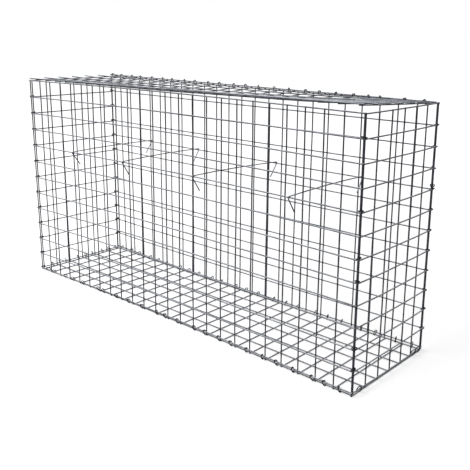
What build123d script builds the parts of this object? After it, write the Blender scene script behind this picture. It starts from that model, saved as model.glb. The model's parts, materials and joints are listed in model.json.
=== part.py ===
# Welded-mesh gabion basket, empty, with its lid hinged along the back.
# Frame: millimetres, +X along the length, +Y to the back, +Z up, origin at the
# centre of the base on the ground.
import os
from math import cos, radians, sin

from build123d import *

# Mesh: square cells of one pitch, counted along each side
MESH = 76.2
CELLS_LONG = 24
CELLS_DEEP = 6
CELLS_HIGH = 12
WIRE = 4.0

# The basket stands on its base. The lowest level wires of the sides run this far
# above it, and the uprights reach this far below them.
SIDE_CLEARANCE = 4.0
STUB = 6.0

# Lid: one cross wire a cell. Its long wires run on past the last one at each end,
# and stop short of the right end of the basket.
LID_RIGHT_SET_BACK = 8.0
LID_RIGHT_STUB = 16.0
LID_LEFT_STUB = 58.0
LID_CLEARANCE = 0.5
LID_LIFT_DEG = 1.2

# Hinge rings: each a closed loop round the lid's back wire and the back's top wire
RING_WIRE = 3.0
RING_CLEARANCE = 0.3
RING_CHAMFER = 2.5

# Tie wires: hooked at both ends over one level wire of the front and the back
TIE_WIRE = 4.0
TIE_ROW = 8
TIE_SEAT = 0.3
TIE_TAIL = 73.0
TIE_TAIL_DEG = 54.0
TIE_FRONT_X = (-601.0, -255.0, 165.0, 635.0)
TIE_BACK_X = (-622.0, -284.0, 188.5, 616.0)

LENGTH = CELLS_LONG * MESH
DEPTH = CELLS_DEEP * MESH
HEIGHT = CELLS_HIGH * MESH
LOWEST_ROW = 2 * WIRE + SIDE_CLEARANCE + WIRE / 2
TOP_ROW = LOWEST_ROW + HEIGHT

# Planes on which the two wire layers of each side meet
FRONT_FACE = DEPTH / 2 + 1.5 * WIRE
END_FACE = LENGTH / 2 + WIRE / 2

# The lid turns on its back long wire. Its cross wires hang below that wire and,
# when it is shut, lie on the top wires of the sides.
HINGE_Y = DEPTH / 2
HINGE_Z = TOP_ROW + 2 * WIRE + LID_CLEARANCE


def steps(first, count):
    """Places of wires one cell apart from the first one."""
    return [first + MESH * i for i in range(count)]


def welded_mesh(face, rows, row_span, columns, column_span):
    """Two layers of straight wires welded where they cross on a plane.

    Rows run along the plane's X and stand on its outer side, columns run along
    its Y behind it.
    """
    with BuildPart() as mesh:
        with BuildSketch(face):
            with Locations([((row_span[0] + row_span[1]) / 2, y) for y in rows]):
                Rectangle(row_span[1] - row_span[0], WIRE)
        extrude(amount=WIRE)
        with BuildSketch(face):
            with Locations([(x, (column_span[0] + column_span[1]) / 2) for x in columns]):
                Rectangle(WIRE, column_span[1] - column_span[0])
        extrude(amount=-WIRE, clean=False)
    return mesh


def side_mesh(face, cells):
    """An upright side: level wires outside, uprights inside, stubs at the foot."""
    half = cells * MESH / 2
    return welded_mesh(
        face,
        rows=steps(LOWEST_ROW, CELLS_HIGH + 1),
        row_span=(-half - WIRE / 2, half + WIRE / 2),
        columns=steps(-half, cells + 1),
        column_span=(LOWEST_ROW - WIRE / 2 - STUB, TOP_ROW + WIRE / 2),
    )


# Front and back
front_panel = side_mesh(Plane((0, -FRONT_FACE, 0), x_dir=(1, 0, 0), z_dir=(0, -1, 0)), CELLS_LONG)
back_panel = side_mesh(Plane((0, FRONT_FACE, 0), x_dir=(-1, 0, 0), z_dir=(0, 1, 0)), CELLS_LONG)

# Ends
right_end_panel = side_mesh(Plane((END_FACE, 0, 0), x_dir=(0, 1, 0), z_dir=(1, 0, 0)), CELLS_DEEP)
left_end_panel = side_mesh(Plane((-END_FACE, 0, 0), x_dir=(0, -1, 0), z_dir=(-1, 0, 0)), CELLS_DEEP)

# Base: it fits between the uprights of the four sides
base_half = LENGTH / 2 - WIRE / 2
base_end_cross = base_half - WIRE / 2
base_inner_cross = steps(MESH - LENGTH / 2, CELLS_LONG - 1)
base_panel = welded_mesh(
    Plane((0, 0, WIRE)),
    rows=steps(-DEPTH / 2, CELLS_DEEP + 1),
    row_span=(-base_half, base_half),
    columns=[-base_end_cross, *base_inner_cross, base_end_cross],
    column_span=(-DEPTH / 2 - WIRE / 2, DEPTH / 2 + WIRE / 2),
)

# Lid: drawn flat on its own plane, which is tilted about the hinge wire
lid_right = LENGTH / 2 - LID_RIGHT_SET_BACK
lid_last_cross = lid_right - LID_RIGHT_STUB
lid_first_cross = lid_last_cross - MESH * (CELLS_LONG - 1)
lift = radians(LID_LIFT_DEG)
lid_up = (0, sin(lift), cos(lift))
lid_panel = welded_mesh(
    Plane((0, HINGE_Y, HINGE_Z), x_dir=(1, 0, 0), z_dir=lid_up).offset(-WIRE / 2),
    rows=steps(-DEPTH, CELLS_DEEP + 1),
    row_span=(lid_first_cross - LID_LEFT_STUB, lid_right),
    columns=steps(lid_first_cross, CELLS_LONG),
    column_span=(-DEPTH - WIRE / 2, WIRE / 2),
)

# Hinge rings, each midway between two cross wires of the lid or past its first
lid_wire_centre = Vector(0, HINGE_Y, HINGE_Z)
top_wire_centre = Vector(0, FRONT_FACE + WIRE / 2, TOP_ROW)
across = top_wire_centre - lid_wire_centre
ring_inside = 2 * (WIRE / 2 ** 0.5 + RING_CLEARANCE)
hinge_rings = []
for ring_x in steps(lid_first_cross - MESH / 2, CELLS_LONG):
    ring_centre = (lid_wire_centre + top_wire_centre) / 2 + Vector(ring_x, 0, 0)
    with BuildPart() as hinge_ring:
        with BuildSketch(Plane(ring_centre, x_dir=across, z_dir=(1, 0, 0))):
            outline = Rectangle(across.length + ring_inside + 2 * RING_WIRE, ring_inside + 2 * RING_WIRE)
            chamfer(outline.vertices(), RING_CHAMFER)
            Rectangle(across.length + ring_inside, ring_inside, mode=Mode.SUBTRACT)
        extrude(amount=RING_WIRE / 2, both=True)
    hinge_rings.append(hinge_ring)

# Tie wires, each drawn on the upright plane through its two ends
tie_z = LOWEST_ROW + TIE_ROW * MESH + WIRE / 2 + TIE_WIRE / 2
tail = radians(TIE_TAIL_DEG)
apex_reach = (TIE_WIRE / 2 + TIE_SEAT + (WIRE + TIE_WIRE / 2) * cos(tail)) / sin(tail)
apex_y = FRONT_FACE + WIRE + apex_reach
tie_wires = []
for front_x, back_x in zip(TIE_FRONT_X, TIE_BACK_X):
    run = Vector(back_x - front_x, 2 * apex_y, 0)
    half = run.length / 2
    tie_plane = Plane(((front_x + back_x) / 2, 0, tie_z), x_dir=run, z_dir=run.cross(Vector(0, 0, 1)))
    tail_in = half - TIE_TAIL * cos(tail)
    tail_drop = -TIE_TAIL * sin(tail)
    with BuildPart() as tie_wire:
        with BuildLine(tie_plane) as tie_path:
            Polyline((-tail_in, tail_drop), (-half, 0), (half, 0), (tail_in, tail_drop))
        with BuildSketch(Plane(tie_path.line @ 0, z_dir=tie_path.line % 0)):
            RegularPolygon(TIE_WIRE / 2, 6)
        sweep(path=tie_path.line, transition=Transition.RIGHT)
    tie_wires.append(tie_wire)

pieces = {
    "front_panel": front_panel,
    "back_panel": back_panel,
    "right_end_panel": right_end_panel,
    "left_end_panel": left_end_panel,
    "base_panel": base_panel,
    "lid_panel": lid_panel,
}
for number, hinge_ring in enumerate(hinge_rings, start=1):
    pieces[f"hinge_ring_{number}"] = hinge_ring
for number, tie_wire in enumerate(tie_wires, start=1):
    pieces[f"tie_wire_{number}"] = tie_wire

os.makedirs("parts", exist_ok=True)
for name, piece in pieces.items():
    piece.part.label = name
    export_step(piece.part, f"parts/{name}.step")
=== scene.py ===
# Looks of the welded-mesh gabion basket: round galvanised wires with their welds,
# dark rings along its edges, and hooked tie wires across its inside. Metres, +Z up.
import json
import math
import random

import bpy
from mathutils import Euler, Matrix, Vector


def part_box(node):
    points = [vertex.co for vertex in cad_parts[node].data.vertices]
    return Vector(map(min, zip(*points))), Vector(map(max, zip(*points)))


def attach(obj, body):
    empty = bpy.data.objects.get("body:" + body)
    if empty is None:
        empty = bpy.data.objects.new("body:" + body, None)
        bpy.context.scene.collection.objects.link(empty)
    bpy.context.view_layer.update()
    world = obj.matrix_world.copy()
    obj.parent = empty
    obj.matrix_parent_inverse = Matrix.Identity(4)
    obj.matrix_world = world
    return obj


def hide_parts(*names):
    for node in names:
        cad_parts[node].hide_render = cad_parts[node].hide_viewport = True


# Mesh, as the frame has it
CELLS_LONG = 24
CELLS_DEEP = 6
CELLS_HIGH = 12
LID_RIGHT_STUB = 0.016

# How far a panel strays from flat, and how often along its length
SWAY = 0.0016
BASE_SWAY = 0.0003
SWAY_WAVES = 2.2
SWAY_REACH = (1.6, 1.6, 5.0)
SWAY_SEED_STEP = 3.7
HELD_WITHIN = 0.12
NOT_HELD = 9.0

# How the sides have settled: drawn in by so much at the middle of the foot and of
# the top, and the long ones more so towards the left end
FRONT_DRAWN = (0.0115, 0.0205)
BACK_DRAWN = (0.0105, 0.003)
RIGHT_DRAWN = (-0.0035, -0.003)
LEFT_DRAWN = (0.0, 0.0)
FRONT_ROUNDNESS = 1.4
BACK_ROUNDNESS = 0.95
DRAWN_LEFTWARDS = 0.3

# Their level wires lie off true by so much, from left to right or front to back
FRONT_LEVELS = (-0.004, 0.0035, 0.005)
BACK_LEVELS = (-0.003, -0.003, 0.0)
RIGHT_LEVELS = (0.0035, 0.003, 0.003)
LEFT_LEVELS = (-0.004, -0.005, -0.006)

# The long sides lie off along their length, and the ends are set in
FRONT_SLID = 0.0018
BACK_SLID = -0.0045
RIGHT_SET_IN = 0.0018
LEFT_SET_IN = 0.004

# The two wires that meet at a corner stand this much further apart
CORNER_GAP = 0.003

# Only the edges of the base follow the sides. The lid sags, is twisted and hangs a
# little low in its rings.
EDGE_FOLLOWS = 6
LID_SAG = 0.016
LID_TWIST = 0.013
LID_DROP = 0.004

# Round wire, about as wide as the frame's square bars look on average
MESH_WIRE = 0.005
TIE_WIRE = 0.0045

# Welds: the bead squeezed out where two wires cross
BEAD_HALF_WIDTH = 0.0033
BEAD_HALF_HEIGHT = 0.0019

# Rings: round wire closed into a flattened hoop whose tips lie side by side
RING_WIRE = 0.0038
RING_SQUARENESS = 2.6
RING_TURN = math.radians(378)
RING_TIPS_APART = 0.0042
RING_PLAY = 0.001
RING_HALF_HEIGHT = 0.0058
CORNER_RING_HALF = (0.0092, 0.0068)
HINGE_RING_PLAY = 0.0026
RING_LEAN = math.radians(14)
RING_ROOM = 0.0075
RING_TRIALS = 200
RING_TRIAL_STEP = 0.0005
RING_MIDDLE_FROM_GROUND = 0.0125

# Rings along the foot, in cells from the left end or from the front
FRONT_FOOT_RINGS = (
    0.67, 1.31, 2.55, 3.32, 4.34, 5.89, 6.34, 7.56, 8.68, 9.86, 11.08, 11.8,
    12.78, 14.07, 14.91, 15.97, 16.75, 17.81, 18.85, 19.74, 20.74, 21.86, 22.54, 23.35,
)
BACK_FOOT_RINGS = (
    0.45, 1.5, 2.4, 3.6, 4.45, 5.3, 6.6, 7.45, 8.35, 9.55, 10.4, 11.6,
    12.45, 13.4, 14.6, 15.5, 16.35, 17.6, 18.4, 19.3, 20.55, 21.4, 22.6, 23.5,
)
LEFT_FOOT_RINGS = (0.7, 1.2, 1.7, 2.65, 3.25, 3.8, 4.6, 5.2, 5.8)
RIGHT_FOOT_RINGS = (0.55, 5.3, 5.75)

# Rings up the corners, in cells above the lowest level wire
FRONT_LEFT_RINGS = (0, 1, 2, 3, 4, 5, 6, 7, 8, 9, 10, 11)
FRONT_RIGHT_RINGS = (1, 2, 5, 6, 8, 11)
BACK_LEFT_RINGS = (1, 2, 3, 4, 5, 6, 7, 8, 9, 10, 11)
BACK_RIGHT_RINGS = (1, 2, 3, 4, 5, 6, 7, 8, 8.16, 9, 10, 11)
RING_ABOVE_WIRE = 0.0038

# How far each ring along the hinge is drawn from its node, from left to right
HINGE_RINGS_STRAYED = (
    0.004, -0.003, 0.006, -0.005, 0.002, 0.005, -0.006, 0.003, -0.004, 0.006, -0.002, 0.009,
    0.004, -0.001, 0.011, 0.013, 0.019, 0.011, 0.013, 0.018, 0.010, -0.016, 0.006, 0.009,
)

# Tie wires: where each crosses the front and the back, and how its ends hook over
TIE_CROSSINGS = ((-0.601, -0.622), (-0.255, -0.284), (0.165, 0.1885), (0.635, 0.616))
TIE_ROW = 8
TIE_TAIL = 0.073
TIE_SLOPES = ((54, 54), (58, 55), (58, 55), (56, 54))
TIE_REACH = 0.2478
TIE_BEND = 0.003
TIE_ARCH = 0.004
TIE_ARCH_STEPS = 8

# Colours of the finishes
ZINC_LIGHT = (0.058, 0.063, 0.077, 1.0)
ZINC_DARK = (0.022, 0.025, 0.033, 1.0)
TIE_LIGHT = (0.095, 0.102, 0.12, 1.0)
TIE_DARK = (0.045, 0.049, 0.06, 1.0)
DRIP_PALE = (0.22, 0.24, 0.28, 1.0)
# Painted light: a pale colour laid along the top of every wire, as if lit from above
PAINTED_TOP_LIGHT = (0.50, 0.52, 0.56, 1.0)
WELD_LIGHT = (0.07, 0.075, 0.087, 1.0)
WELD_SCORCHED = (0.03, 0.032, 0.038, 1.0)
WELD_RUST = (0.16, 0.075, 0.032, 1.0)
RING_BLACK = (0.010, 0.012, 0.016, 1.0)
RING_RUBBED = (0.06, 0.065, 0.08, 1.0)
SHEEN = {"Specular IOR Level": 0.25}

# Studio: floor, world and lamp
FLOOR_HALF = 60.0
FLOOR_COLOUR = (0.9, 0.9, 0.9, 1.0)
FLOOR_GLOW_NEAR = (0.48, 0.48, 0.48, 1.0)
FLOOR_GLOW_FAR = (0.75, 0.75, 0.75, 1.0)
FLOOR_GLOW_FROM = 1.4
FLOOR_GLOW_TO = 5.0
WORLD_LEVEL = 0.35
LAMP_WATTS = 180.0
LAMP_SIZE = (5.0, 3.0)
LAMP_AT = Vector((-1.6, -2.6, 3.3))
LAMP_AIM = Vector((0.0, 0.0, 0.4))

# Fineness of the meshes
WIRE_SIDES = 12
WIRE_STEP = 0.038
RING_SIDES = 8
RING_STEPS = 22
BEAD_SEGMENTS = 8
BEAD_RINGS = 5
BEND_STEPS = 8

# Photograph: its frame in pixels, and the camera that took it
PHOTO_SIDE = 470
FOCAL_PIXELS = 691.6
CENTRE_X = 259.8
CENTRE_Y = 200.2
SENSOR_MM = 36.0
CAMERA_AT = Vector((2.0206, -1.9806, 1.1750))
CAMERA_LOOK = Vector((-0.63554, 0.73313, -0.24210))
CAMERA_RIGHT = Vector((0.75353, 0.65730, 0.01236))

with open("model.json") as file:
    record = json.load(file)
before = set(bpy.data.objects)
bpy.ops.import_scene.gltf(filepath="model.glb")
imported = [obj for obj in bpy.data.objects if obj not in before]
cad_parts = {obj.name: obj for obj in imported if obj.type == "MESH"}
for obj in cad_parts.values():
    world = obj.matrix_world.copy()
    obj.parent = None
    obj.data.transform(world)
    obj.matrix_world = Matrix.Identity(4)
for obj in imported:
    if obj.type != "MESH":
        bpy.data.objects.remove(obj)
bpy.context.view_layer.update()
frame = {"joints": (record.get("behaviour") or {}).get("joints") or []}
chance = random.Random(7)

front_low, front_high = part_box("front_panel")
base_low, base_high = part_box("base_panel")
lid_low, lid_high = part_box("lid_panel")
WIRE = (front_high.y - front_low.y) / 2
PITCH = (front_high.x - front_low.x - WIRE) / CELLS_LONG
LENGTH = CELLS_LONG * PITCH
DEPTH = CELLS_DEEP * PITCH
HEIGHT = CELLS_HIGH * PITCH
TOP_ROW = front_high.z - WIRE / 2
LOWEST_ROW = TOP_ROW - HEIGHT
MID_HEIGHT = (TOP_ROW + LOWEST_ROW) / 2
FRONT_FACE = DEPTH / 2 + 1.5 * WIRE
END_FACE = LENGTH / 2 + WIRE / 2
BASE_FACE = (base_low.z + base_high.z) / 2

lid_joint = frame["joints"][0]
HINGE = Vector(lid_joint["pos_m"])
LID_LIFT = -math.radians(lid_joint["range_deg"][0])


# Settled shapes, for plain numbers and for node trees alike

def drawn_in(along, up, foot, top, leftwards, roundness):
    """How far a side is drawn in, from -1 to 1 along it and from 0 to 1 up it."""
    bow = (1 - along * along) ** roundness
    return bow * (1 - along * leftwards) * (foot + up * (top - foot))


def off_level(along, low, middle, high):
    """How far a level wire lies off, from that at its two ends and its middle."""
    ends = (along * (along - 1) * low + along * (along + 1) * high) * 0.5
    return ends + (1 - along * along) * middle


# Node trees, written as arithmetic

class Signal:
    """The output of a node, which can be added, multiplied and so on."""

    def __init__(self, net, socket):
        self.net = net
        self.socket = socket

    def maths(self, operation, *others):
        inputs = dict(enumerate((self, *others)))
        return self.net.add("ShaderNodeMath", inputs, operation=operation)

    def __add__(self, other):
        return self.maths("ADD", other)

    __radd__ = __add__

    def __mul__(self, other):
        return self.maths("MULTIPLY", other)

    __rmul__ = __mul__

    def __sub__(self, other):
        return self.maths("SUBTRACT", other)

    def __rsub__(self, other):
        return self.net.add("ShaderNodeMath", {0: other, 1: self}, operation="SUBTRACT")

    def __truediv__(self, other):
        return self.maths("DIVIDE", other)

    def __rtruediv__(self, other):
        return self.net.add("ShaderNodeMath", {0: other, 1: self}, operation="DIVIDE")

    def __pow__(self, other):
        return self.maths("POWER", other)

    def __abs__(self):
        return self.maths("ABSOLUTE")


class Net:
    """A node tree being built, of either kind."""

    def __init__(self, tree):
        self.tree = tree

    def add(self, kind, inputs=None, output=0, **settings):
        """Adds a node with its settings, feeds its inputs and returns one output."""
        made = self.tree.nodes.new(kind)
        for key, value in settings.items():
            setattr(made, key, value)
        for key, value in (inputs or {}).items():
            for one in value if isinstance(value, list) else [value]:
                if isinstance(one, Signal):
                    self.tree.links.new(one.socket, made.inputs[key])
                else:
                    made.inputs[key].default_value = one
        return Signal(self, made.outputs[output]) if made.outputs else made

    def vector(self, x, y, z):
        return self.add("ShaderNodeCombineXYZ", {0: x, 1: y, 2: z})

    def parts(self, vector):
        """The three numbers of a vector."""
        first = self.add("ShaderNodeSeparateXYZ", {0: vector})
        return [Signal(self, socket) for socket in first.socket.node.outputs]

    def vector_maths(self, operation, *values, output=0):
        return self.add("ShaderNodeVectorMath", dict(enumerate(values)), output, operation=operation)

    def rise(self, value, low, high):
        """Goes smoothly from 0 to 1 as the value goes from low to high."""
        inputs = {"Value": value, "From Min": low, "From Max": high}
        return self.add("ShaderNodeMapRange", inputs, interpolation_type="SMOOTHSTEP")

    def blend(self, share, first, second):
        """A colour between two, by a share."""
        return self.add("ShaderNodeMix", {0: share, 6: first, 7: second}, 2, data_type="RGBA")

    def attribute(self, name, kind):
        return self.add("GeometryNodeInputNamedAttribute", {"Name": name}, data_type=kind)


def shape_net(name, **sizes):
    """A geometry tree with named inputs. Returns its net and its inputs."""
    tree = bpy.data.node_groups.new(name, "GeometryNodeTree")
    tree.interface.new_socket("Geometry", in_out="INPUT", socket_type="NodeSocketGeometry")
    tree.interface.new_socket("Geometry", in_out="OUTPUT", socket_type="NodeSocketGeometry")
    for label, kind in sizes.items():
        words = label.replace("_", " ").capitalize()
        tree.interface.new_socket(words, in_out="INPUT", socket_type="NodeSocket" + kind)
    net = Net(tree)
    entry = tree.nodes.new("NodeGroupInput")
    given = {s.name: Signal(net, s) for s in entry.outputs if s.name}
    return net, given


def end_shape(net, finished):
    way_out = net.tree.nodes.new("NodeGroupOutput")
    net.tree.links.new(finished.socket, way_out.inputs[0])


def grow(name, seed_mesh, net, placement=None, **sizes):
    """Runs a geometry tree on a mesh and leaves a plain mesh object at the origin."""
    piece = bpy.data.objects.new(name, seed_mesh)
    bpy.context.scene.collection.objects.link(piece)
    modifier = piece.modifiers.new("shape", "NODES")
    modifier.node_group = net.tree
    wanted = {label.replace("_", " ").capitalize(): value for label, value in sizes.items()}
    for item in net.tree.interface.items_tree:
        if item.in_out == "INPUT" and item.name in wanted:
            modifier[item.identifier] = wanted[item.name]
    bpy.context.view_layer.update()
    depsgraph = bpy.context.evaluated_depsgraph_get()
    mesh = bpy.data.meshes.new_from_object(piece.evaluated_get(depsgraph), depsgraph=depsgraph)
    piece.modifiers.remove(modifier)
    piece.data = mesh
    mesh.name = name
    if placement:
        mesh.transform(placement)
    for face in mesh.polygons:
        face.use_smooth = len(face.vertices) <= 4
    return piece


# Finishes. Each rule returns what feeds the surface, by socket name.

def finish(name, rule, **fixed):
    material = bpy.data.materials.new(name)
    material.use_nodes = True
    net = Net(material.node_tree)
    net.tree.nodes.clear()
    surface = net.add("ShaderNodeBsdfPrincipled", {**rule(net), **fixed})
    net.add("ShaderNodeOutputMaterial", {"Surface": surface})
    return material


def mottle(net, scale, detail=2.0, roughness=0.5):
    """Cloudy noise in the piece's own metres."""
    place = net.add("ShaderNodeTexCoord", output=3)
    inputs = {"Vector": place, "Scale": scale, "Detail": detail, "Roughness": roughness}
    return net.add("ShaderNodeTexNoise", inputs)


def bump(net, height, strength, distance):
    inputs = {"Height": height, "Strength": strength, "Distance": distance}
    return net.add("ShaderNodeBump", inputs)


def painted_light_top_share(net):
    """From 0 on the sides of a wire to 1 along its top, as the piece was made. It places the painted
    light from above.
    """
    x, y, z = net.parts(net.add("ShaderNodeTexCoord", output=1))
    return net.rise(z, 0.1, 0.8)


def galvanised(light, dark):
    """Drawn wire with a zinc coat: cloudy, dulled in patches, with painted light from above that
    makes its top paler.
    """

    def rule(net):
        clouds = mottle(net, 26.0, 3.0)
        spangle = mottle(net, 240.0, 2.0, 0.6)
        pits = mottle(net, 1500.0, 2.0)
        dull = net.rise(clouds * 0.6 + spangle * 0.4, 0.38, 0.62)
        drips = net.rise(mottle(net, 75.0, 2.0), 0.56, 0.70)
        colour = net.blend(dull, light, dark)
        colour = net.blend(drips * 0.25, colour, DRIP_PALE)
        # Painted light from above: the top of every wire is made paler, less so where it is dulled
        painted_top_light = painted_light_top_share(net) * (0.95 - dull * 0.3)
        return {
            "Base Color": net.blend(painted_top_light, colour, PAINTED_TOP_LIGHT),
            "Roughness": 0.40 + dull * 0.22 + drips * 0.1,
            "Metallic": 0.35 - dull * 0.15,
            "Normal": bump(net, spangle + pits * 0.5, 0.35, 0.0003),
        }

    return rule


def weld_rule(net):
    """Scorched zinc on the bead, with a speck of rust here and there."""
    scorch = net.rise(mottle(net, 160.0, 3.0), 0.36, 0.66)
    rust = net.rise(mottle(net, 95.0, 2.0), 0.64, 0.72)
    colour = net.blend(scorch, WELD_LIGHT, WELD_SCORCHED)
    return {
        "Base Color": net.blend(rust * 0.55, colour, WELD_RUST),
        "Roughness": 0.5 + scorch * 0.25,
        "Metallic": 0.5 - rust * 0.4,
        "Normal": bump(net, mottle(net, 1100.0, 3.0), 0.5, 0.0004),
    }


def ring_rule(net):
    """Dark coated wire, rubbed a little lighter in places."""
    rubbed = net.rise(mottle(net, 130.0, 3.0), 0.52, 0.70)
    return {
        "Base Color": net.blend(rubbed * 0.5, RING_BLACK, RING_RUBBED),
        "Roughness": 0.38 + rubbed * 0.2,
        "Metallic": rubbed * 0.3,
        "Normal": bump(net, mottle(net, 900.0, 2.0), 0.3, 0.0003),
    }


zinc = finish("Galvanised wire", galvanised(ZINC_LIGHT, ZINC_DARK), **SHEEN)
tie_zinc = finish("Galvanised tie wire", galvanised(TIE_LIGHT, TIE_DARK), **SHEEN)
weld = finish("Weld bead", weld_rule, **SHEEN)
ring_black = finish("Dark ring wire", ring_rule, **SHEEN)


# Panels of welded mesh. Each is drawn round its own middle: rows along X in front
# of the plane, columns along Y behind it.

def lines_and_crossings(name, rows, row_span, columns, column_span):
    """Straight lines for the wires, and loose points, marked as welds, where they cross."""
    points = []
    for y in rows:
        points += [(row_span[0], y, WIRE / 2), (row_span[1], y, WIRE / 2)]
    for x in columns:
        points += [(x, column_span[0], -WIRE / 2), (x, column_span[1], -WIRE / 2)]
    edges = [(i, i + 1) for i in range(0, len(points), 2)]
    ends = len(points)
    points += [(x, y, 0) for x in columns for y in rows]
    mesh = bpy.data.meshes.new(name)
    mesh.from_pydata(points, edges, [])
    marks = mesh.attributes.new("weld", "BOOLEAN", "POINT")
    marks.data.foreach_set("value", [i >= ends for i in range(len(points))])
    return mesh


def panel_net():
    """Bends the lines slightly as one sheet, then makes them wires and beads."""
    net, given = shape_net(
        "Welded mesh",
        wire="Float", step="Float", half_length="Float", half_width="Float",
        held_line="Float", sway="Float", waves="Float", seed="Float",
        drawn="Vector", levels="Vector", edges="Vector", roundness="Float",
        sag="Float", twist="Float", drop="Float",
        bead="Vector", wire_finish="Material", bead_finish="Material",
    )
    x, y, z = net.parts(net.add("GeometryNodeInputPosition"))
    from_side = given["Half length"] - abs(x)
    from_end = given["Half width"] - abs(y)
    from_held_line = abs(y - given["Held line"])
    freedom = from_side.maths("MINIMUM", from_end).maths("MINIMUM", from_held_line)
    freedom = net.rise(freedom, 0.0, HELD_WITHIN)
    place = net.vector(x, y, given["Seed"])
    inputs = {"Vector": place, "Scale": given["Waves"], "Detail": 1.0}
    drift = net.add("ShaderNodeTexNoise", inputs, 1)
    drift = net.vector_maths("SUBTRACT", drift, (0.5, 0.5, 0.5))
    drift = net.vector_maths("MULTIPLY", drift, SWAY_REACH)
    drift = net.add(
        "ShaderNodeVectorMath", {0: drift, "Scale": freedom * given["Sway"]}, operation="SCALE"
    )

    along = x / given["Half length"]
    across = y / given["Half width"]
    up = (across + 1) * 0.5
    foot, top, leftwards = net.parts(given["Drawn"])
    inwards = drawn_in(along, up, foot, top, leftwards, given["Roundness"])
    low_edge, high_edge, leftwards = net.parts(given["Edges"])
    pull = low_edge * (1 - up) ** EDGE_FOLLOWS - high_edge * up ** EDGE_FOLLOWS
    pull = drawn_in(along, up, pull, pull, leftwards, given["Roundness"])
    shift = off_level(along, *net.parts(given["Levels"]))
    hollow = (1 - along * along) * (1 - across * across) * given["Sag"]
    lift = given["Twist"] * along * (1 - up) - given["Drop"] * up
    settled = net.vector(0.0, pull + shift, lift - hollow - inwards)
    offset = net.vector_maths("ADD", drift, settled)

    at_weld = net.attribute("weld", "BOOLEAN")
    split = net.add(
        "GeometryNodeSeparateGeometry", {"Geometry": given["Geometry"], "Selection": at_weld}
    )
    lines = Signal(net, split.socket.node.outputs["Inverted"])
    curves = net.add("GeometryNodeMeshToCurve", {"Mesh": lines})
    curves = net.add(
        "GeometryNodeResampleCurve", {"Curve": curves, "Length": given["Step"]}, mode="LENGTH"
    )
    curves = net.add("GeometryNodeSetPosition", {"Geometry": curves, "Offset": offset})
    section = net.add(
        "GeometryNodeCurvePrimitiveCircle",
        {"Resolution": WIRE_SIDES, "Radius": given["Wire"] / 2},
    )
    wires = net.add(
        "GeometryNodeCurveToMesh",
        {"Curve": curves, "Profile Curve": section, "Fill Caps": True},
    )
    wires = net.add(
        "GeometryNodeSetMaterial", {"Geometry": wires, "Material": given["Wire finish"]}
    )
    spots = net.add("GeometryNodeSetPosition", {"Geometry": split, "Offset": offset})
    ball = net.add(
        "GeometryNodeMeshUVSphere",
        {"Segments": BEAD_SEGMENTS, "Rings": BEAD_RINGS, "Radius": 1.0},
    )
    beads = net.add(
        "GeometryNodeInstanceOnPoints",
        {"Points": spots, "Instance": ball, "Scale": given["Bead"]},
    )
    beads = net.add("GeometryNodeRealizeInstances", {"Geometry": beads})
    beads = net.add(
        "GeometryNodeSetMaterial", {"Geometry": beads, "Material": given["Bead finish"]}
    )
    end_shape(net, net.add("GeometryNodeJoinGeometry", {"Geometry": [wires, beads]}))
    return net


def span(half):
    return (-half - WIRE / 2, half + WIRE / 2)


def steps(first, count):
    return [first + PITCH * i for i in range(count)]


mesh_net = panel_net()
panel_seed = 0


def panel(
    node, body, placement, rows, row_span, columns, column_span,
    held=NOT_HELD, sway=SWAY, **settled,
):
    """One panel, which stands for its frame node."""
    global panel_seed
    panel_seed += 1
    piece = grow(
        node + "_wires",
        lines_and_crossings(node, rows, row_span, columns, column_span),
        mesh_net,
        placement,
        wire=MESH_WIRE,
        step=WIRE_STEP,
        half_length=max(abs(row_span[0]), abs(row_span[1])),
        half_width=max(abs(column_span[0]), abs(column_span[1])),
        held_line=held,
        sway=sway,
        waves=SWAY_WAVES,
        seed=panel_seed * SWAY_SEED_STEP,
        **settled,
        bead=(BEAD_HALF_WIDTH, BEAD_HALF_WIDTH, BEAD_HALF_HEIGHT),
        wire_finish=zinc,
        bead_finish=weld,
    )
    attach(piece, body)
    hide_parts(node)
    return piece


def standing(x_to, out, at):
    """Where an upright panel goes: its X along x_to, its Y up, its face outwards."""
    x_to = Vector(x_to)
    out = Vector(out)
    turned = Matrix((x_to, Vector((0, 0, 1)), out)).transposed().to_4x4()
    return Matrix.Translation((at[0], at[1], MID_HEIGHT)) @ turned


# Seen from outside, the back and the left end run the other way
tie_line = LOWEST_ROW + TIE_ROW * PITCH - MID_HEIGHT
sides = (
    (
        "front_panel", standing((1, 0, 0), (0, -1, 0), (FRONT_SLID, -FRONT_FACE)), CELLS_LONG,
        tie_line, (*FRONT_DRAWN, DRAWN_LEFTWARDS), FRONT_ROUNDNESS, FRONT_LEVELS,
    ),
    (
        "back_panel", standing((-1, 0, 0), (0, 1, 0), (BACK_SLID, FRONT_FACE)), CELLS_LONG,
        tie_line, (*BACK_DRAWN, -DRAWN_LEFTWARDS), BACK_ROUNDNESS, BACK_LEVELS[::-1],
    ),
    (
        "right_end_panel", standing((0, 1, 0), (1, 0, 0), (END_FACE - RIGHT_SET_IN, 0)), CELLS_DEEP,
        NOT_HELD, (*RIGHT_DRAWN, 0.0), 1.0, RIGHT_LEVELS,
    ),
    (
        "left_end_panel", standing((0, -1, 0), (-1, 0, 0), (LEFT_SET_IN - END_FACE, 0)), CELLS_DEEP,
        NOT_HELD, (*LEFT_DRAWN, 0.0), 1.0, LEFT_LEVELS[::-1],
    ),
)
for node, placement, cells, held, drawn, roundness, levels in sides:
    half = cells * PITCH / 2
    uprights = steps(-half, cells + 1)
    uprights[0] += CORNER_GAP if cells == CELLS_DEEP else -CORNER_GAP
    uprights[-1] -= CORNER_GAP
    if node == "front_panel":
        uprights[0] += LEFT_SET_IN - FRONT_SLID
    panel(
        node, "basket", placement,
        steps(-HEIGHT / 2, CELLS_HIGH + 1), span(half),
        uprights, (front_low.z - MID_HEIGHT, HEIGHT / 2 + WIRE / 2),
        held,
        drawn=drawn,
        roundness=roundness,
        levels=levels,
    )

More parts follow.
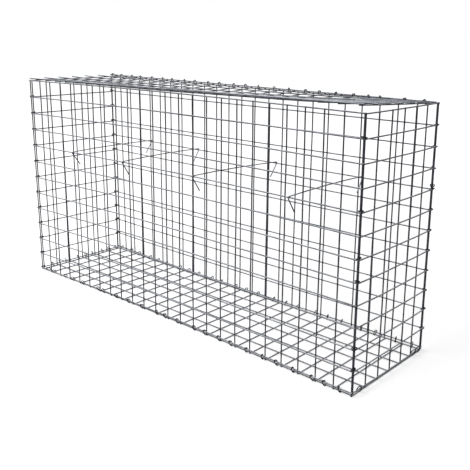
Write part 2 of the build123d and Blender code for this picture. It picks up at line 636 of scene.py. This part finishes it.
# Base
base_half = base_high.x
base_cross = steps(PITCH - LENGTH / 2, CELLS_LONG - 1)
panel(
    "base_panel", "basket", Matrix.Translation((0, 0, BASE_FACE + (MESH_WIRE - WIRE) / 2)),
    steps(-DEPTH / 2, CELLS_DEEP + 1), (LEFT_SET_IN - base_half, base_half),
    [LEFT_SET_IN - base_half + WIRE / 2, *base_cross, base_half - WIRE / 2], span(DEPTH / 2),
    edges=(FRONT_DRAWN[0], BACK_DRAWN[0], DRAWN_LEFTWARDS),
    roundness=(FRONT_ROUNDNESS + BACK_ROUNDNESS) / 2,
    sway=BASE_SWAY,
)

# Lid, tilted about its hinge wire
lid_turn = Matrix.Rotation(-LID_LIFT, 4, "X")
lid_cross = steps(lid_high.x - LID_RIGHT_STUB - PITCH * (CELLS_LONG - 1), CELLS_LONG)
panel(
    "lid_panel", "lid",
    Matrix.Translation(HINGE) @ lid_turn @ Matrix.Translation((0, -DEPTH / 2, -WIRE / 2)),
    steps(-DEPTH / 2, CELLS_DEEP + 1), (lid_low.x, lid_high.x),
    lid_cross, span(DEPTH / 2),
    roundness=1.0,
    sag=LID_SAG,
    twist=LID_TWIST,
    drop=LID_DROP,
)


# Rings

def ring_net():
    """A flattened open hoop of round wire on each point, turned as the point says."""
    net, given = shape_net(
        "Closed rings",
        wire="Float", half_width="Float", half_height="Float", squareness="Float",
        turn="Float", tips_apart="Float", finish="Material",
    )
    share = net.add("GeometryNodeInputIndex") / RING_STEPS
    angle = (share - 0.5) * given["Turn"]
    reach = []
    for name, half in (("COSINE", given["Half width"]), ("SINE", given["Half height"])):
        wave = angle.maths(name)
        reach.append(wave.maths("SIGN") * abs(wave) ** (2 / given["Squareness"]) * half)
    path = net.add("GeometryNodeMeshLine", {"Count": RING_STEPS + 1})
    path = net.add("GeometryNodeMeshToCurve", {"Mesh": path})
    hoop = net.vector(reach[0], reach[1], (share - 0.5) * given["Tips apart"])
    path = net.add("GeometryNodeSetPosition", {"Geometry": path, "Position": hoop})
    section = net.add(
        "GeometryNodeCurvePrimitiveCircle",
        {"Resolution": RING_SIDES, "Radius": given["Wire"] / 2},
    )
    ring = net.add(
        "GeometryNodeCurveToMesh",
        {"Curve": path, "Profile Curve": section, "Fill Caps": True},
    )
    rings = net.add(
        "GeometryNodeInstanceOnPoints",
        {
            "Points": given["Geometry"],
            "Instance": ring,
            "Rotation": net.attribute("turn", "FLOAT_VECTOR"),
        },
    )
    rings = net.add("GeometryNodeRealizeInstances", {"Geometry": rings})
    rings = net.add("GeometryNodeSetMaterial", {"Geometry": rings, "Material": given["Finish"]})
    end_shape(net, rings)
    return net


def rings(name, half, places, *nodes):
    """Rings at places, each a point with the two ways across the hoop."""
    mesh = bpy.data.meshes.new(name)
    mesh.from_pydata([at for at, wide, high in places], [], [])
    turns = mesh.attributes.new("turn", "FLOAT_VECTOR", "POINT")
    for spot, (at, wide, high) in zip(turns.data, places):
        wide = Vector(wide).normalized()
        high = Vector(high).normalized()
        flat = Matrix((wide, high, wide.cross(high))).transposed()
        leans = [chance.uniform(-RING_LEAN, RING_LEAN) for axis in range(2)]
        lean = Euler((*leans, 0)).to_matrix()
        half_turn = Matrix.Rotation(chance.choice((0, math.pi)), 3, "Z")
        spot.vector = (flat @ lean @ half_turn).to_euler()
    piece = grow(
        name, mesh, rings_net,
        wire=RING_WIRE,
        half_width=half[0],
        half_height=half[1],
        squareness=RING_SQUARENESS,
        turn=RING_TURN,
        tips_apart=RING_TIPS_APART,
        finish=ring_black,
    )
    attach(piece, "basket")
    if nodes:
        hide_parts(*nodes)
    return piece


def nearest_free(place, wires):
    """The place nearest to one that leaves room for a ring beside every wire."""
    for shift in range(RING_TRIALS):
        for trial in (place + shift * RING_TRIAL_STEP, place - shift * RING_TRIAL_STEP):
            if all(abs(trial - wire) >= RING_ROOM for wire in wires):
                return trial
    return place


rings_net = ring_net()
uprights_long = steps(-LENGTH / 2, CELLS_LONG + 1)
uprights_deep = steps(-DEPTH / 2, CELLS_DEEP + 1)


def ring_round(first, second, along):
    """Where a ring goes that holds two wires, and how far apart they are."""
    across = first - second
    middle = (first + second) / 2
    middle.z = max(middle.z, RING_MIDDLE_FROM_GROUND)
    return (middle, across, across.cross(Vector(along))), across.length


def rings_of_one_size(name, found, play, *nodes):
    """Rings from ring_round, all as long as the one whose wires lie furthest apart."""
    widest = max(apart for place, apart in found)
    half_length = widest / 2 + WIRE / 2 + RING_WIRE / 2 + play
    return rings(name, (half_length, RING_HALF_HEIGHT), [place for place, apart in found], *nodes)


# Along the foot of each side: round its lowest level wire and the edge of the base
long_feet = (
    ("front_foot_rings", -1, FRONT_FOOT_RINGS, FRONT_DRAWN, FRONT_ROUNDNESS, FRONT_LEVELS),
    ("back_foot_rings", 1, BACK_FOOT_RINGS, BACK_DRAWN, BACK_ROUNDNESS, BACK_LEVELS),
)
for name, side, cells, drawn, roundness, levels in long_feet:
    foot_places = []
    for cell in cells:
        x = nearest_free(cell * PITCH - LENGTH / 2, uprights_long)
        along = x / (LENGTH / 2)
        inwards = drawn_in(along, 0, *drawn, DRAWN_LEFTWARDS, roundness)
        row_y = side * (FRONT_FACE + WIRE / 2 - inwards)
        row = Vector((x, row_y, LOWEST_ROW + off_level(along, *levels)))
        edge = Vector((x, side * (DEPTH / 2 - inwards), BASE_FACE + WIRE / 2))
        foot_places.append(ring_round(row, edge, (1, 0, 0)))
    rings_of_one_size(name, foot_places, RING_PLAY)

short_feet = (
    ("left_foot_rings", -1, LEFT_SET_IN, LEFT_FOOT_RINGS, LEFT_DRAWN, LEFT_LEVELS),
    ("right_foot_rings", 1, RIGHT_SET_IN, RIGHT_FOOT_RINGS, RIGHT_DRAWN, RIGHT_LEVELS),
)
for name, side, set_in, cells, drawn, levels in short_feet:
    foot_places = []
    for cell in cells:
        y = nearest_free(cell * PITCH - DEPTH / 2, uprights_deep)
        along = y / (DEPTH / 2)
        row_x = side * (END_FACE + WIRE / 2 - set_in - drawn_in(along, 0, *drawn, 0, 1))
        row = Vector((row_x, y, LOWEST_ROW + off_level(along, *levels)))
        edge = Vector((side * (base_half - WIRE / 2 - set_in), y, BASE_FACE - WIRE / 2))
        foot_places.append(ring_round(row, edge, (0, 1, 0)))
    rings_of_one_size(name, foot_places, RING_PLAY)

# Up the corners: round the two end uprights that meet there
corner_y = (FRONT_FACE - WIRE / 2 + DEPTH / 2 - CORNER_GAP) / 2
corner_places = []
corners = (
    (-LENGTH / 2 + LEFT_SET_IN - CORNER_GAP / 2, -corner_y, FRONT_LEFT_RINGS, FRONT_LEVELS[0]),
    (LENGTH / 2 - CORNER_GAP / 2, -corner_y, FRONT_RIGHT_RINGS, FRONT_LEVELS[2]),
    (-LENGTH / 2 + CORNER_GAP / 2, corner_y, BACK_LEFT_RINGS, BACK_LEVELS[0]),
    (LENGTH / 2 + (BACK_SLID + CORNER_GAP) / 2, corner_y, BACK_RIGHT_RINGS, BACK_LEVELS[2]),
)
for x, y, cells, level in corners:
    for cell in cells:
        z = LOWEST_ROW + cell * PITCH + level + RING_ABOVE_WIRE
        corner_places.append(((x, y, z), (0, 1, 0), (1, 0, 0)))
rings("corner_rings", CORNER_RING_HALF, corner_places)

# Along the hinge: round the lid's back wire and the top wire of the back
hinge_nodes = [f"hinge_ring_{number}" for number in range(1, CELLS_LONG + 1)]
hinge_places = []
for name, strayed in zip(hinge_nodes, HINGE_RINGS_STRAYED):
    low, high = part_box(name)
    x = (low.x + high.x) / 2 + strayed
    along = (x - BACK_SLID) / (LENGTH / 2)
    inwards = drawn_in(along, 1, *BACK_DRAWN, DRAWN_LEFTWARDS, BACK_ROUNDNESS)
    top_y = FRONT_FACE + WIRE / 2 - inwards
    top_wire = Vector((x, top_y, TOP_ROW + off_level(along, *BACK_LEVELS)))
    lid_wire = Vector((x, HINGE.y, HINGE.z - LID_DROP))
    hinge_places.append(ring_round(top_wire, lid_wire, (1, 0, 0)))
rings_of_one_size("hinge_rings", hinge_places, HINGE_RING_PLAY, *hinge_nodes)


# Tie wires

def tie_net():
    """Rounds the bends of a line and makes it a round wire."""
    net, given = shape_net("Tie wire", wire="Float", bend="Float", finish="Material")
    path = net.add("GeometryNodeMeshToCurve", {"Mesh": given["Geometry"]})
    path = net.add(
        "GeometryNodeFilletCurve",
        {"Curve": path, "Count": BEND_STEPS, "Radius": given["Bend"], "Limit Radius": True},
        mode="POLY",
    )
    section = net.add(
        "GeometryNodeCurvePrimitiveCircle",
        {"Resolution": WIRE_SIDES, "Radius": given["Wire"] / 2},
    )
    wire = net.add(
        "GeometryNodeCurveToMesh",
        {"Curve": path, "Profile Curve": section, "Fill Caps": True},
    )
    wire = net.add("GeometryNodeRealizeInstances", {"Geometry": wire})
    wire = net.add("GeometryNodeSetMaterial", {"Geometry": wire, "Material": given["Finish"]})
    end_shape(net, wire)
    return net


hooked_net = tie_net()
tie_height = LOWEST_ROW + TIE_ROW * PITCH + WIRE


def tie_end(x, side, drawn, roundness, levels):
    """Where a tie bends down outside a long side."""
    along = x / (LENGTH / 2)
    inwards = drawn_in(along, tie_height / TOP_ROW, *drawn, DRAWN_LEFTWARDS, roundness)
    return Vector((x, side * (TIE_REACH - inwards), tie_height + off_level(along, *levels)))


def tie_tail(end, inwards, slope):
    """The tip of the tail that slants down from a bend."""
    slope = math.radians(slope)
    return end + (inwards * math.cos(slope) - Vector((0, 0, math.sin(slope)))) * TIE_TAIL


tie_plans = zip(TIE_CROSSINGS, TIE_SLOPES)
for number, ((front_x, back_x), (front_slope, back_slope)) in enumerate(tie_plans, start=1):
    front_end = tie_end(front_x, -1, FRONT_DRAWN, FRONT_ROUNDNESS, FRONT_LEVELS)
    back_end = tie_end(back_x, 1, BACK_DRAWN, BACK_ROUNDNESS, BACK_LEVELS)
    inwards = (back_end - front_end).normalized()
    bends = [tie_tail(front_end, inwards, front_slope)]
    for step in range(TIE_ARCH_STEPS + 1):
        share = step / TIE_ARCH_STEPS
        arch = 4 * share * (1 - share) * TIE_ARCH
        bends.append(front_end.lerp(back_end, share) + Vector((0, 0, arch)))
    bends.append(tie_tail(back_end, -inwards, back_slope))
    mesh = bpy.data.meshes.new("tie_line")
    mesh.from_pydata(bends, [(i, i + 1) for i in range(len(bends) - 1)], [])
    node = f"tie_wire_{number}"
    piece = grow(
        node + "_round", mesh, hooked_net, wire=TIE_WIRE, bend=TIE_BEND, finish=tie_zinc
    )
    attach(piece, "basket")
    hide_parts(node)


# Floor, light and camera

def floor_rule(net):
    """White to the camera far beyond the lamp's reach, with a faint shadow near the basket."""
    seen = net.add("ShaderNodeLightPath")
    place = net.add("ShaderNodeTexCoord", output=3)
    distance = net.vector_maths("LENGTH", place, output=1)
    far = net.rise(distance, FLOOR_GLOW_FROM, FLOOR_GLOW_TO)
    return {
        "Emission Color": net.blend(far, FLOOR_GLOW_NEAR, FLOOR_GLOW_FAR),
        "Emission Strength": seen,
    }


floor_mesh = bpy.data.meshes.new("floor")
floor_corners = [(x * FLOOR_HALF, y * FLOOR_HALF, 0) for x, y in ((-1, -1), (1, -1), (1, 1), (-1, 1))]
floor_mesh.from_pydata(floor_corners, [], [(0, 1, 2, 3)])
floor = bpy.data.objects.new("floor", floor_mesh)
bpy.context.scene.collection.objects.link(floor)
floor_mesh.materials.append(
    finish(
        "Pale floor", floor_rule,
        **{"Base Color": FLOOR_COLOUR, "Roughness": 0.9, "Specular IOR Level": 0.0},
    )
)

world = bpy.data.worlds.new("Soft light")
world.use_nodes = True
bpy.context.scene.world = world
sky = Net(world.node_tree)
sky.tree.nodes.clear()
path = sky.add("ShaderNodeLightPath")
outputs = path.socket.node.outputs
seen = Signal(sky, outputs["Is Camera Ray"])
for ray in ("Is Glossy Ray", "Is Transmission Ray"):
    seen = seen.maths("MAXIMUM", Signal(sky, outputs[ray]))
strength = WORLD_LEVEL + seen * (1 - WORLD_LEVEL)
background = sky.add("ShaderNodeBackground", {"Color": (1.0, 1.0, 1.0, 1.0), "Strength": strength})
sky.add("ShaderNodeOutputWorld", {"Surface": background})

lamp = bpy.data.lights.new("Overhead lamp", "AREA")
lamp.shape = "RECTANGLE"
lamp.size, lamp.size_y = LAMP_SIZE
lamp.energy = LAMP_WATTS
overhead = bpy.data.objects.new("Overhead lamp", lamp)
overhead.location = LAMP_AT
overhead.rotation_euler = (LAMP_AIM - LAMP_AT).to_track_quat("-Z", "Y").to_euler()
bpy.context.scene.collection.objects.link(overhead)

look = CAMERA_LOOK.normalized()
right = (CAMERA_RIGHT - look * CAMERA_RIGHT.dot(look)).normalized()
up = right.cross(look)
camera_data = bpy.data.cameras.new("Camera")
camera_data.sensor_width = SENSOR_MM
camera_data.lens = FOCAL_PIXELS / PHOTO_SIDE * SENSOR_MM
camera_data.shift_x = (PHOTO_SIDE / 2 - CENTRE_X) / PHOTO_SIDE
camera_data.shift_y = (CENTRE_Y - PHOTO_SIDE / 2) / PHOTO_SIDE
camera = bpy.data.objects.new("Camera", camera_data)
turned = Matrix((right, up, -look)).transposed().to_4x4()
camera.matrix_world = Matrix.Translation(CAMERA_AT) @ turned
bpy.context.scene.collection.objects.link(camera)
bpy.context.scene.camera = camera
bpy.context.scene.view_settings.view_transform = "Standard"
